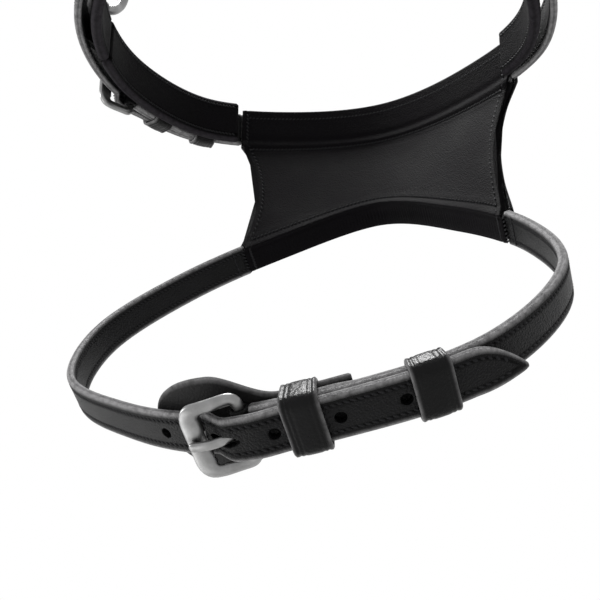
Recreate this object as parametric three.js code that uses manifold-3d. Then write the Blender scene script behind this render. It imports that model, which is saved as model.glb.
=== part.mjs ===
// Leather headcollar: lined nose panel, chin strap, nose strap and a headpiece on two cheek rings.
// Millimetres, +Z towards the poll, +Y out of the front of the nose, origin in the chin strap's middle.
import * as THREE from 'three';
import { mergeVertices } from 'three/addons/utils/BufferGeometryUtils.js';
import Module from 'manifold-3d';

const wasm = await Module();
wasm.setup();

// ---- driving dimensions ----
const GAP = 0.3;                    // between pieces that touch
const CHIN_SLOPE = 39.6;            // degrees the chin strap drops from the nose to the chin
const CHIN_RADII = [116.8, 99.9, 97.4, 101.6, 96, 83.2, 82.2];  // back to front, every 30 degrees
const NOSE_RADII = [103, 102, 109, 104, 98, 94, 92];            // the same for the nose strap
const NOSE_HEIGHT = 135;            // middle of the nose strap above the origin
const CHIN_WIDTH = 16;
const NOSE_WIDTH = 20;
const HEAD_WIDTH = 20;
const STRAP_THICK = 3.6;            // a sewn strap of two layers
const BILLET_THICK = 3.2;
const TURN_LENGTH = 30;             // skived end that is turned round a buckle bar and sewn back
const COVER = 1.2;                  // panel lining and facing leather
const PANEL_GAP = 0.45;             // between the panel's layers
const PANEL_RECESS = 1.2;           // how far the lining falls back between its two bands
const PANEL_HALF_LOW = 86;          // half length of the panel along the chin strap
const PANEL_TURN = -9;              // middle of that edge, round the chin strap from the back
const PANEL_HEM = 13;               // height of the panel's lower edge, narrower than the strap
const PANEL_HALF_HIGH = 84;         // half length of the panel along the nose strap
const PANEL_WAIST = 0.11;           // share of its length that the panel loses at mid height
const LINER_THICK = 5;              // padded liner inside the nose strap
const LINER_EXTRA = 2;              // liner beyond each edge of the strap
const KEEPER_LENGTH = 12;
const KEEPER_WALL = 1.6;
const HOLE_PITCH = 20;
const HOLE_BORE = 4;
const BAR_RADIUS = 1.6;             // buckle heel bar
const FRAME_LENGTH = 19;
const FRAME_SIDE = 4;
const FRAME_ROOM = 1.8;             // between the strap's edge and a side of the frame
const FRAME_THICK = 3;
const TONGUE_RADIUS = 1.25;
const TONGUE_EYE = 3.6;
const GUARD_THICK = 1.6;
const GUARD_WIDTH = 36;
const RING_RADIUS = 20;
const RING_WIRE = 2.4;
const RING_Y = -38;                 // the rings lie this far behind the middle of the nose strap
const RING_LIFT = 26.5;             // ring centre above the nose strap's top edge
const HANGER_WIDTH = 16;            // leather that holds a ring
const HANGER_WALL = 1.5;
const POLL_HEIGHT = 500;            // underside of the crown above the origin
const CHEEK_LENGTH = 150;           // right cheek strap

// ---- materials ----
const leather = (colour, roughness) => new THREE.MeshStandardMaterial({ color: colour, roughness, metalness: 0 });
const BLACK = leather('#1a191a', 0.5);
const LINING = leather('#1d1a1e', 0.6);
const FOAM = leather('#2c2c2e', 0.9);
const STEEL = new THREE.MeshStandardMaterial({ color: '#b8b8b4', roughness: 0.32, metalness: 1 });

// ---- solids ----
function solidOf(geometry) {
  const bare = geometry.clone();
  bare.deleteAttribute('normal');
  bare.deleteAttribute('uv');
  const merged = mergeVertices(bare, 1e-4);
  return new wasm.Manifold(new wasm.Mesh({
    numProp: 3,
    vertProperties: Float32Array.from(merged.attributes.position.array),
    triVerts: Uint32Array.from(merged.index.array),
  }));
}

function geometryOf(solid) {
  const mesh = solid.getMesh();
  const geometry = new THREE.BufferGeometry();
  geometry.setAttribute('position', new THREE.BufferAttribute(Float32Array.from(mesh.vertProperties), 3));
  geometry.setIndex(Array.from(mesh.triVerts));
  geometry.computeVertexNormals();
  return geometry;
}

const join = (...shapes) => geometryOf(shapes.map(solidOf).reduce((a, b) => a.add(b)));
const cut = (shape, ...tools) => geometryOf(tools.map(solidOf).reduce((a, b) => a.subtract(b), solidOf(shape)));

function node(name, geometry, material) {
  const mesh = new THREE.Mesh(geometry, material);
  mesh.name = name;
  return mesh;
}

// A box of cells whose corners go where place(along, through, across) sends them, each from 0 to 1.
function bentBox(cellsAlong, cellsAcross, place) {
  const geometry = new THREE.BoxGeometry(1, 1, 1, cellsAlong, 1, cellsAcross);
  const points = geometry.attributes.position;
  for (let i = 0; i < points.count; i += 1) {
    const spot = place(points.getX(i) + 0.5, points.getY(i) + 0.5, points.getZ(i) + 0.5);
    points.setXYZ(i, spot.x, spot.y, spot.z);
  }
  return geometry;
}

const ease = (value, start, end) => THREE.MathUtils.smoothstep(value, start, end);
const mix = THREE.MathUtils.lerp;

// ---- strap lines: flat curves, measured in millimetres from their start ----
function ringLine(radii) {
  const points = [];
  for (let i = 0; i < 12; i += 1) {
    const turn = THREE.MathUtils.degToRad(30 * i);
    const radius = radii[i <= 6 ? i : 12 - i];
    points.push(new THREE.Vector3(-radius * Math.sin(turn), radius * Math.cos(turn), 0));
  }
  return strapLine(new THREE.CatmullRomCurve3(points, true));
}

function strapLine(curve) {
  curve.arcLengthDivisions = 800;
  const length = curve.getLength();
  const share = (s) => (curve.closed ? THREE.MathUtils.euclideanModulo(s / length, 1) : s / length);
  const out = (s) => {
    const tangent = curve.getTangentAt(share(s));
    return new THREE.Vector3(tangent.y, -tangent.x, 0);
  };
  const at = (s, offset, height) => {
    const point = curve.getPointAt(share(s)).addScaledVector(out(s), offset);
    point.z = height;
    return point;
  };
  return { length, at, out };
}

const asFunction = (value) => (typeof value === 'function' ? value : () => value);

// A strap between two places on a line; inside, thickness, width and middle are numbers or functions of place.
function strap(line, from, to, inside, thickness, width, centre = 0, step = 5) {
  const [low, thick, wide, middle] = [inside, thickness, width, centre].map(asFunction);
  const cells = Math.max(2, Math.ceil((to - from) / step));
  return bentBox(cells, 1, (along, through, across) => {
    const s = mix(to, from, along);
    return line.at(s, low(s) + through * thick(s), middle(s) + (across - 0.5) * wide(s));
  });
}

// Local frame at a place on a line: x along the line, y outward, z across the strap.
function placed(geometry, line, s, offset = 0) {
  const spot = line.at(s, offset, 0);
  const out = line.out(s);
  const along = new THREE.Vector3(-out.y, out.x, 0);
  const frame = new THREE.Matrix4().makeBasis(along, out.clone().negate(), new THREE.Vector3(0, 0, 1));
  return geometry.applyMatrix4(frame.setPosition(spot));
}

// ---- buckled strap: chape strap, billet strap, frame, tongue and two keepers ----
const EYE_RADIUS = BAR_RADIUS + GAP + 1.3;
const BAR_OFFSET = STRAP_THICK / 2;
const END_BAR = -(FRAME_LENGTH - 3.2);          // middle of the end bar, measured from the heel bar
const END_BAR_LIFT = BILLET_THICK + GAP + FRAME_THICK / 2 + 0.5;
const OVER_CHAPE = STRAP_THICK + GAP;           // where the billet lies on the chape strap
const OVER_EYE = BAR_OFFSET + EYE_RADIUS + GAP;
const CREW_HOLE = -5.8;                         // middle of the hole that the tongue comes through
const CREW_LENGTH = 12.4;
const FIRST_HOLE = -10;                         // hole pattern's start, measured from the heel bar

const billetRise = (x) => mix(mix(0, OVER_EYE, ease(x, -13, -3)), OVER_CHAPE, ease(x, 3, 14));

function bar(radius, length, sides = 16) {
  return new THREE.CylinderGeometry(radius, radius, length, sides).rotateX(Math.PI / 2);
}

// A tool that punches a round hole, or a crew hole with round ends where length is more than bore.
function holeAt(line, s, bore, length = bore) {
  const outline = new THREE.Shape();
  const half = (length - bore) / 2;
  outline.absarc(half, 0, bore / 2, -Math.PI / 2, Math.PI / 2);
  outline.absarc(-half, 0, bore / 2, Math.PI / 2, Math.PI * 1.5);
  const tool = new THREE.ExtrudeGeometry(outline, { depth: 30, bevelEnabled: false, curveSegments: 6 });
  return placed(tool.translate(0, 0, -15).rotateX(Math.PI / 2), line, s);
}

function frameSide(width, side) {
  const outline = new THREE.Shape();
  const lift = END_BAR_LIFT - BAR_OFFSET;
  outline.moveTo(2.6, -1.6);
  outline.lineTo(2.6, 1.6);
  outline.lineTo(-4, FRAME_THICK / 2 + lift * 0.45);
  outline.lineTo(END_BAR, lift + FRAME_THICK / 2);
  outline.lineTo(END_BAR, lift - FRAME_THICK / 2);
  outline.lineTo(-4, -FRAME_THICK / 2 + lift * 0.45);
  const shape = new THREE.ExtrudeGeometry(outline, { depth: FRAME_SIDE, bevelEnabled: false });
  const inner = width / 2 + FRAME_ROOM;
  return shape.translate(0, 0, side > 0 ? inner : -inner - FRAME_SIDE);
}

// In the local frame y is inward, so a lift away from the horse is negative y.
function buckleFrame(line, heel, width) {
  const lift = END_BAR_LIFT - BAR_OFFSET;
  const across = width + 2 * (FRAME_ROOM + FRAME_SIDE);
  const endBar = new THREE.BoxGeometry(6.4, FRAME_THICK, across).translate(END_BAR, lift, 0);
  const heelBar = bar(BAR_RADIUS, width + 2 * FRAME_ROOM + FRAME_SIDE);
  const body = join(heelBar, frameSide(width, 1), frameSide(width, -1), endBar);
  return placed(body.rotateX(Math.PI), line, heel, BAR_OFFSET);
}

function buckleTongue(line, heel) {
  const rest = END_BAR_LIFT - BAR_OFFSET + FRAME_THICK / 2 + GAP + TONGUE_RADIUS;
  const path = new THREE.CatmullRomCurve3([[-1.8, 1.8], [-7, rest - 1.4], [-11, rest], [END_BAR - 2.4, rest]]
    .map(([x, y]) => new THREE.Vector3(x, y, 0)));
  const section = new THREE.Shape().absarc(0, 0, TONGUE_RADIUS, 0, Math.PI * 2);
  const shaft = new THREE.ExtrudeGeometry(section, { steps: 12, curveSegments: 5, extrudePath: path });
  const eye = join(bar(EYE_RADIUS - 0.1, TONGUE_EYE), shaft);
  const ring = cut(eye, bar(BAR_RADIUS + GAP, TONGUE_EYE * 2));
  return placed(ring.rotateX(Math.PI), line, heel, BAR_OFFSET);
}

function chapeStrap(line, heel, to, width) {
  const inside = (s) => mix(BAR_OFFSET - EYE_RADIUS, 0, ease(s, heel + TURN_LENGTH, heel + TURN_LENGTH + 8));
  const thick = (s) => STRAP_THICK - inside(s);
  const body = strap(line, heel, to, inside, thick, width);
  const eye = placed(bar(EYE_RADIUS, width), line, heel, BAR_OFFSET);
  const bore = placed(bar(BAR_RADIUS + GAP, width * 2), line, heel, BAR_OFFSET);
  const slot = placed(new THREE.BoxGeometry(14, 14, TONGUE_EYE + 1), line, heel - 2, BAR_OFFSET);
  return cut(join(body, eye), bore, slot);
}

function billetStrap(line, from, heel, tip, width, holes, rise = (s) => billetRise(s - heel), droop = 0) {
  const point = width * 0.9;
  const taper = (s) => width * (1 - 0.85 * Math.max(0, (s - tip + point) / point) ** 1.6);
  const body = strap(line, from, tip, rise, BILLET_THICK, taper, droop, 3);
  const bores = holes.map((k) => holeAt(line, heel + FIRST_HOLE + HOLE_PITCH * k, HOLE_BORE));
  return cut(body, holeAt(line, heel + CREW_HOLE, HOLE_BORE, CREW_LENGTH), ...bores);
}

function keeper(line, centre, width, inside, outside) {
  const half = KEEPER_LENGTH / 2;
  const from = centre - half;
  const to = centre + half;
  const wall = KEEPER_WALL;
  const deep = outside - inside + 2 * GAP;
  const room = width + 2 * GAP;
  const outer = strap(line, from, to, inside - GAP - wall, deep + 2 * wall, room + 2 * wall, 0, 2);
  const inner = strap(line, from - 4, to + 4, inside - GAP, deep, room, 0, 2);
  return cut(outer, inner);
}

// ---- chin strap, in its own sloping plane ----
const chinLine = ringLine(CHIN_RADII);
const CHIN_HEEL = chinLine.length / 2 + 12.5;
const CHIN_TIP = CHIN_HEEL + 86;
const CHIN_RUNNING = CHIN_HEEL + 58.5;
const TIP_START = CHIN_RUNNING + KEEPER_LENGTH / 2 + 4.5;   // past here the billet's end hangs free
const TIP_STAND = 2.5;              // the free end stands off the strap
const TIP_DROOP = 5;                // and droops
const BAND_OVERHANG = 6;            // the lower band runs this far out of the panel's ends
const BAND_FROM = PANEL_TURN - PANEL_HALF_LOW - BAND_OVERHANG;
const BAND_TO = PANEL_TURN + PANEL_HALF_LOW + BAND_OVERHANG;

function chinGuard() {
  const inside = BAR_OFFSET - EYE_RADIUS - GAP - GUARD_THICK;
  const from = CHIN_HEEL - 38;
  const to = CHIN_HEEL + 36;
  const middle = CHIN_HEEL - 10;
  const round = 28.5;
  const narrow = CHIN_WIDTH + 1.5;
  const wide = (s) => {
    const head = Math.sqrt(Math.max(0.06, 1 - ((s - middle) / round) ** 2));
    return s < middle ? GUARD_WIDTH * head : mix(GUARD_WIDTH, narrow, ease(s, middle, middle + 23));
  };
  return strap(chinLine, from, to, inside, GUARD_THICK, wide, 0, 2.5);
}

function chinGroup() {
  const group = new THREE.Group();
  const chapeEnd = chinLine.length + BAND_FROM - GAP;
  const turned = BAR_OFFSET - EYE_RADIUS;
  const top = OVER_CHAPE + BILLET_THICK;
  const free = (s) => Math.max(0, (s - TIP_START) / (CHIN_TIP - TIP_START)) ** 2;
  const rise = (s) => billetRise(s - CHIN_HEEL) + TIP_STAND * free(s);
  const holes = [-1, 1, 2, 3];
  group.add(
    node('panel_lower_band', strap(chinLine, BAND_FROM, BAND_TO, 0, STRAP_THICK, PANEL_HEM), BLACK),
    node('chin_chape_strap', chapeStrap(chinLine, CHIN_HEEL, chapeEnd, CHIN_WIDTH), BLACK),
    node('chin_billet_strap',
      billetStrap(chinLine, BAND_TO + GAP, CHIN_HEEL, CHIN_TIP, CHIN_WIDTH, holes, rise, (s) => -TIP_DROOP * free(s)),
      BLACK),
    node('chin_buckle_guard', chinGuard(), BLACK),
    node('chin_buckle_frame', buckleFrame(chinLine, CHIN_HEEL, CHIN_WIDTH), STEEL),
    node('chin_buckle_tongue', buckleTongue(chinLine, CHIN_HEEL), STEEL),
    node('chin_fixed_keeper',
      keeper(chinLine, CHIN_HEEL + 19.5, CHIN_WIDTH + 1.5, turned - GAP - GUARD_THICK, top), BLACK),
    node('chin_running_keeper', keeper(chinLine, CHIN_RUNNING, CHIN_WIDTH, 0, top), BLACK),
  );
  group.rotation.x = THREE.MathUtils.degToRad(CHIN_SLOPE);
  return group;
}

// ---- nose strap, in a level plane, turned over so that its buckle is on the horse's near side ----
const noseLine = ringLine(NOSE_RADII);
const NOSE_BAND = PANEL_HALF_HIGH;
const NOSE_HEEL = noseLine.length - 157;
const NOSE_TIP = NOSE_HEEL + 67;
const NOSE_RUNNING = NOSE_HEEL + 51;

function placeAtDepth(line, depth, from, to) {
  let [low, high] = [from, to];
  for (let i = 0; i < 40; i += 1) {
    const middle = (low + high) / 2;
    if (line.at(middle, 0, 0).y > depth) low = middle;
    else high = middle;
  }
  return low;
}

const HANGER_NEAR = noseLine.length - placeAtDepth(noseLine, RING_Y, 100, noseLine.length / 2);
const HANGER_FAR = placeAtDepth(noseLine, RING_Y, 100, noseLine.length / 2);
const RING_X = Math.abs(noseLine.at(HANGER_FAR, -GAP - HANGER_WALL / 2, 0).x);
const RING_Z = NOSE_HEIGHT + NOSE_WIDTH / 2 + RING_LIFT;

// Ring in the frame of a flat curve: centre at (x, y, z), standing across the x axis.
function ringShape(x, y, z, extra = 0, sides = 10) {
  const shape = new THREE.TorusGeometry(RING_RADIUS, RING_WIRE + extra, sides, 40);
  return shape.rotateY(Math.PI / 2).translate(x, y, z);
}

// Leather block folded round a ring's wire, a channel left for the wire to turn in.
function wrapBlock(x, y, z, sizeY, sizeZ) {
  const thick = 2 * (RING_WIRE + GAP + HANGER_WALL);
  return new THREE.BoxGeometry(thick, sizeY, sizeZ).translate(x, y, z);
}

function ringHanger(side) {
  const s = side > 0 ? HANGER_FAR : HANGER_NEAR;
  const x = -side * RING_X;
  const centreZ = NOSE_HEIGHT - RING_Z;
  const wireZ = centreZ + RING_RADIUS;
  const top = -NOSE_WIDTH / 2 - LINER_EXTRA - GAP;
  const tab = strap(noseLine, s - HANGER_WIDTH / 2, s + HANGER_WIDTH / 2, -GAP - HANGER_WALL, HANGER_WALL,
    NOSE_WIDTH - 2, 0, 4);
  const neck = strap(noseLine, s - HANGER_WIDTH / 2, s + HANGER_WIDTH / 2, -GAP - HANGER_WALL, HANGER_WALL,
    8, top + 2, 4);
  const upper = wireZ - 6;
  const block = wrapBlock(x, RING_Y, (top + upper) / 2, HANGER_WIDTH, top - upper);
  return cut(join(tab, neck, block), ringShape(x, RING_Y, centreZ, GAP + 0.1, 16));
}

function noseGroup() {
  const group = new THREE.Group();
  const line = noseLine;
  const start = NOSE_BAND + GAP;
  const chapeEnd = line.length - start;
  const top = OVER_CHAPE + BILLET_THICK;
  const linerIn = -2 * GAP - HANGER_WALL - KEEPER_WALL - LINER_THICK;
  const linerWide = NOSE_WIDTH + 2 * LINER_EXTRA;
  const liner = (from, to) => strap(line, from, to, linerIn, LINER_THICK, linerWide);
  group.add(
    node('panel_upper_band', strap(line, -NOSE_BAND, NOSE_BAND, 0, STRAP_THICK, NOSE_WIDTH), BLACK),
    node('nose_chape_strap', chapeStrap(line, NOSE_HEEL, chapeEnd, NOSE_WIDTH), BLACK),
    node('nose_billet_strap',
      billetStrap(line, start, NOSE_HEEL, NOSE_TIP, NOSE_WIDTH, [-2, -1, 1, 2]), BLACK),
    node('nose_near_liner', liner(line.length - 200, line.length - start - 3), LINING),
    node('nose_far_liner', liner(start + 3, line.length - 200 - 2), LINING),
    node('nose_buckle_frame', buckleFrame(line, NOSE_HEEL, NOSE_WIDTH), STEEL),
    node('nose_buckle_tongue', buckleTongue(line, NOSE_HEEL), STEEL),
    node('nose_fixed_keeper', keeper(line, NOSE_HEEL + 22.5, NOSE_WIDTH, BAR_OFFSET - EYE_RADIUS, top), BLACK),
    node('nose_running_keeper', keeper(line, NOSE_RUNNING, NOSE_WIDTH, 0, top), BLACK),
    node('near_ring_hanger', ringHanger(-1), BLACK),
    node('far_ring_hanger', ringHanger(1), BLACK),
    node('near_cheek_ring', ringShape(RING_X, RING_Y, NOSE_HEIGHT - RING_Z), STEEL),
    node('far_cheek_ring', ringShape(-RING_X, RING_Y, NOSE_HEIGHT - RING_Z), STEEL),
  );
  group.rotation.y = Math.PI;
  group.position.z = NOSE_HEIGHT;
  return group;
}

// ---- nose panel: facing, padding and lining between the two bands ----
const slope = new THREE.Matrix4().makeRotationX(THREE.MathUtils.degToRad(CHIN_SLOPE));
const LOW_SHARE = 0.2;              // share of the panel's height that each band takes

function panelPoint(along, height, offset) {
  const web = THREE.MathUtils.clamp((height - LOW_SHARE) / (1 - 2 * LOW_SHARE), 0, 1);
  const reach = (2 * along - 1) * (1 - PANEL_WAIST * 4 * web * (1 - web));
  const low = (across) => chinLine.at(PANEL_TURN - reach * PANEL_HALF_LOW, offset, across).applyMatrix4(slope);
  const high = (across) => noseLine.at(-reach * PANEL_HALF_HIGH, offset, NOSE_HEIGHT + across);
  const lowEdge = PANEL_HEM / 2;
  const highEdge = -NOSE_WIDTH / 2;
  if (height <= LOW_SHARE) return low(mix(-lowEdge, lowEdge, height / LOW_SHARE));
  if (height >= 1 - LOW_SHARE) return high(mix(highEdge, -highEdge + 1, (height - 1 + LOW_SHARE) / LOW_SHARE));
  return low(lowEdge).lerp(high(highEdge), web);
}

const recess = (height) => PANEL_RECESS * ease(height, LOW_SHARE, LOW_SHARE + 0.1)
  * (1 - ease(height, 0.9 - LOW_SHARE, 1 - LOW_SHARE));

function panelSheet(lowest, highest, cells, inside, thick, trim = 1) {
  return bentBox(30, cells, (along, through, across) => {
    const height = mix(lowest, highest, across);
    return panelPoint(0.5 + (along - 0.5) * trim, height, inside(height) + through * thick);
  });
}

function panelGroup() {
  const group = new THREE.Group();
  const padIn = () => PANEL_RECESS + PANEL_GAP / 3;
  group.add(
    node('panel_lining', panelSheet(0, 1, 10, (h) => recess(h) - PANEL_GAP - COVER, COVER), LINING),
    node('panel_padding', panelSheet(0.3, 0.7, 4, padIn, STRAP_THICK - PANEL_RECESS - PANEL_GAP / 3, 0.95), FOAM),
    node('panel_facing', panelSheet(0, 1, 10, () => STRAP_THICK + PANEL_GAP, COVER), BLACK),
  );
  return group;
}

// ---- headpiece: two cheek straps and a crown, in an upright plane through the rings ----
const RING_TOP = RING_Z + RING_RADIUS;
const headSpan = POLL_HEIGHT - RING_TOP;
const HEAD_SHAPE = [[1, 0.035], [1.05, 0.3], [0.97, 0.58], [0.7, 0.84], [0.36, 0.965]];
const headPoints = HEAD_SHAPE.map(([x, z]) => new THREE.Vector3(x * RING_X, RING_TOP + z * headSpan, 0));
const headLine = strapLine(new THREE.CatmullRomCurve3([
  ...headPoints,
  new THREE.Vector3(0, POLL_HEIGHT, 0),
  ...headPoints.map((point) => new THREE.Vector3(-point.x, point.y, 0)).reverse(),
]));
const HEAD_HEEL = headLine.length - 150;
const HEAD_TIP = HEAD_HEEL + 74;
const CROWN_START = CHEEK_LENGTH - 34;

// The end of a cheek strap, folded round its ring.
function withRingFold(body, side) {
  const low = RING_TOP - 6;
  const high = RING_TOP + headSpan * 0.035 + 6;
  const block = new THREE.BoxGeometry(2 * (RING_WIRE + GAP + HANGER_WALL), high - low, HANGER_WIDTH);
  block.translate(side * RING_X, (low + high) / 2, 0);
  const channel = new THREE.TorusGeometry(RING_RADIUS, RING_WIRE + GAP + 0.1, 16, 40);
  channel.rotateY(Math.PI / 2).translate(side * RING_X, RING_Z, 0);
  return cut(join(body, block), channel);
}

function headGroup() {
  const group = new THREE.Group();
  const line = headLine;
  const top = OVER_CHAPE + BILLET_THICK;
  const overCheek = (s) => OVER_CHAPE * (1 - ease(s, CHEEK_LENGTH + 2, CHEEK_LENGTH + 16)) + billetRise(s - HEAD_HEEL);
  const farCheek = strap(line, 0, CHEEK_LENGTH, 0, STRAP_THICK, HEAD_WIDTH);
  const nearCheek = chapeStrap(line, HEAD_HEEL, line.length, HEAD_WIDTH);
  group.add(
    node('far_cheek_strap', withRingFold(farCheek, 1), BLACK),
    node('near_cheek_strap', withRingFold(nearCheek, -1), BLACK),
    node('crown_strap',
      billetStrap(line, CROWN_START, HEAD_HEEL, HEAD_TIP, HEAD_WIDTH, [-3, -2, -1, 1, 2], overCheek), BLACK),
    node('crown_buckle_frame', buckleFrame(line, HEAD_HEEL, HEAD_WIDTH), STEEL),
    node('crown_buckle_tongue', buckleTongue(line, HEAD_HEEL), STEEL),
    node('crown_fixed_keeper', keeper(line, HEAD_HEEL + 22.5, HEAD_WIDTH, BAR_OFFSET - EYE_RADIUS, top), BLACK),
    node('crown_running_keeper', keeper(line, HEAD_HEEL + 55, HEAD_WIDTH, 0, top), BLACK),
  );
  group.rotation.x = Math.PI / 2;
  group.position.y = RING_Y;
  return group;
}

const headcollar = new THREE.Group();
headcollar.add(chinGroup(), noseGroup(), panelGroup(), headGroup());

export default headcollar;
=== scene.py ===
import bisect
import math

import bmesh
import bpy
from mathutils import Matrix, Vector


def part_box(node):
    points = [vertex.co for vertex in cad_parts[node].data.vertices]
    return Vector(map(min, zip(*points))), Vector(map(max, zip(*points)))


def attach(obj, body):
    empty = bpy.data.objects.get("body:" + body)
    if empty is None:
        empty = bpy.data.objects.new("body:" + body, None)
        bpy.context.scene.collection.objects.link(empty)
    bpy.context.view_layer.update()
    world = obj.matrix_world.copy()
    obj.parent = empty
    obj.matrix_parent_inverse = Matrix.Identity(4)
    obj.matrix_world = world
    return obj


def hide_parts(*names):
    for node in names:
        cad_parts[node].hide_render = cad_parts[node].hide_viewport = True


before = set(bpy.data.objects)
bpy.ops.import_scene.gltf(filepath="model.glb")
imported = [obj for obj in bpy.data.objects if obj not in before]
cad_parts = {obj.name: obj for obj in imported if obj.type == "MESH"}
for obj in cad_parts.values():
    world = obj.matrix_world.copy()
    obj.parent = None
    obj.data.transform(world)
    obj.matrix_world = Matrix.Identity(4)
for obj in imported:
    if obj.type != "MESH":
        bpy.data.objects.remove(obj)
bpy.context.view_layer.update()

MM = 0.001


# ---- sizes, the same driving sizes as the solids, in metres ----
GAP = 0.3 * MM
CHIN_SLOPE = math.radians(39.6)
CHIN_RADII = [116.8, 99.9, 97.4, 101.6, 96, 83.2, 82.2]
NOSE_RADII = [103, 102, 109, 104, 98, 94, 92]
NOSE_HEIGHT = 135 * MM
CHIN_WIDTH = 16 * MM
NOSE_WIDTH = 20 * MM
HEAD_WIDTH = 20 * MM
STRAP_THICK = 3.6 * MM
BILLET_THICK = 3.2 * MM
TURN_LENGTH = 30 * MM
COVER = 1.2 * MM
PANEL_GAP = 0.45 * MM
PANEL_RECESS = 1.2 * MM
PANEL_HALF_LOW = 86 * MM
PANEL_TURN = -9 * MM
PANEL_HEM = 13 * MM
PANEL_HALF_HIGH = 84 * MM
PANEL_WAIST = 0.11
LINER_THICK = 5 * MM
LINER_EXTRA = 2 * MM
KEEPER_LENGTH = 12 * MM
KEEPER_WALL = 1.6 * MM
HOLE_PITCH = 20 * MM
HOLE_BORE = 4 * MM
BAR_RADIUS = 1.6 * MM
FRAME_LENGTH = 19 * MM
FRAME_SIDE = 4 * MM
FRAME_ROOM = 1.8 * MM
FRAME_THICK = 3 * MM
TONGUE_RADIUS = 1.25 * MM
GUARD_THICK = 1.6 * MM
GUARD_WIDTH = 36 * MM
HANGER_WALL = 1.5 * MM
CHEEK_LENGTH = 150 * MM
EYE_RADIUS = BAR_RADIUS + GAP + 1.3 * MM
BAR_OFFSET = STRAP_THICK / 2
END_BAR = -(FRAME_LENGTH - 3.2 * MM)
END_BAR_LIFT = BILLET_THICK + GAP + FRAME_THICK / 2 + 0.5 * MM
OVER_CHAPE = STRAP_THICK + GAP
OVER_EYE = BAR_OFFSET + EYE_RADIUS + GAP
FIRST_HOLE = -10 * MM
CREW_HOLE = -5.8 * MM            # middle of the slot that the tongue comes through
CREW_LENGTH = 12.4 * MM
CREASE_MARGIN = 2.2 * MM        # a line pressed along each edge of a strap
STITCH_MARGIN = 3.4 * MM        # the stitch row inside it
STITCH_PITCH = 2.1 * MM


def mix(a, b, share):
    return a + (b - a) * share


def ease(value, start, end):
    t = min(1.0, max(0.0, (value - start) / (end - start)))
    return t * t * (3 - 2 * t)


def dent(value, centre, spread):
    return math.exp(-((value - centre) / spread) ** 2)


# ---- strap lines ----
class Line:
    """A flat smooth curve in its own plane, measured in metres along itself."""

    def __init__(self, points, closed, place):
        self.place = place
        self.closed = closed
        self.dots = []
        count = len(points)
        spans = count if closed else count - 1
        for i in range(spans):
            p1, p2 = points[i], points[(i + 1) % count]
            p0 = points[i - 1] if closed or i > 0 else 2 * p1 - p2
            p3 = points[(i + 2) % count] if closed or i + 2 < count else 2 * p2 - p1
            self.dots += self.span(p0, p1, p2, p3)
        self.dots.append(points[0 if closed else -1])
        self.marks = [0.0]
        for a, b in zip(self.dots, self.dots[1:]):
            self.marks.append(self.marks[-1] + (b - a).length)
        self.length = self.marks[-1]

    @staticmethod
    def span(p0, p1, p2, p3, steps=60):
        """Centripetal Catmull-Rom between p1 and p2."""
        d0, d1, d2 = (math.sqrt((b - a).length) for a, b in ((p0, p1), (p1, p2), (p2, p3)))
        t1 = ((p1 - p0) / d0 - (p2 - p0) / (d0 + d1) + (p2 - p1) / d1) * d1
        t2 = ((p2 - p1) / d1 - (p3 - p1) / (d1 + d2) + (p3 - p2) / d2) * d1
        dots = []
        for k in range(steps):
            t = k / steps
            a, b = 2 * t ** 3 - 3 * t ** 2 + 1, t ** 3 - 2 * t ** 2 + t
            dots.append(a * p1 + b * t1 + (1 - a) * p2 + (t ** 3 - t ** 2) * t2)
        return dots

    def flat(self, s):
        if self.closed:
            s %= self.length
        i = min(max(bisect.bisect_right(self.marks, s) - 1, 0), len(self.marks) - 2)
        share = (s - self.marks[i]) / (self.marks[i + 1] - self.marks[i])
        return self.dots[i] + (self.dots[i + 1] - self.dots[i]) * share

    def along(self, s):
        near = 0.8 * MM
        if not self.closed:
            s = min(max(s, near), self.length - near)
        return (self.flat(s + near) - self.flat(s - near)).normalized()

    def at(self, s, out, up):
        point, t = self.flat(s), self.along(s)
        point = point + Vector((t.y, -t.x)) * out
        return self.place @ Vector((point.x, point.y, up))

    def frame(self, s, out=0.0, up=0.0):
        """A matrix at that place: x along the strap, y away from the horse, z across the strap."""
        t = self.along(s)
        turn = self.place.to_3x3()
        axes = [turn @ Vector((t.x, t.y, 0)), turn @ Vector((t.y, -t.x, 0)), turn @ Vector((0, 0, 1))]
        matrix = Matrix(axes).transposed().to_4x4()
        matrix.translation = self.at(s, out, up)
        return matrix


def ring_points(radii):
    turns = [math.radians(30 * i) for i in range(12)]
    sizes = [radii[i if i <= 6 else 12 - i] * MM for i in range(12)]
    return [Vector((-r * math.sin(a), r * math.cos(a))) for r, a in zip(sizes, turns)]


def centre_of(node):
    low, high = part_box(node)
    return (Vector(low) + Vector(high)) / 2


RING = centre_of("near_cheek_ring")
RING_SPAN = Vector(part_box("near_cheek_ring")[1]) - Vector(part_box("near_cheek_ring")[0])
RING_WIRE = RING_SPAN.x / 2
RING_RADIUS = RING_SPAN.z / 2 - RING_WIRE
RING_X, RING_Y, RING_Z = abs(RING.x), RING.y, RING.z
POLL = 500 * MM
RING_TOP = RING_Z + RING_RADIUS
HEAD_SHAPE = [(1, 0.035), (1.05, 0.3), (0.97, 0.58), (0.7, 0.84), (0.36, 0.965)]
head_half = [Vector((x * RING_X, RING_TOP + z * (POLL - RING_TOP))) for x, z in HEAD_SHAPE]
head_points = head_half + [Vector((0, POLL))] + [Vector((-p.x, p.y)) for p in reversed(head_half)]

chin = Line(ring_points(CHIN_RADII), True, Matrix.Rotation(CHIN_SLOPE, 4, "X"))
nose = Line(ring_points(NOSE_RADII), True,
            Matrix.Translation((0, 0, NOSE_HEIGHT)) @ Matrix.Rotation(math.pi, 4, "Y"))
head = Line(head_points, False, Matrix.Translation((0, RING_Y, 0)) @ Matrix.Rotation(math.pi / 2, 4, "X"))

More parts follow.
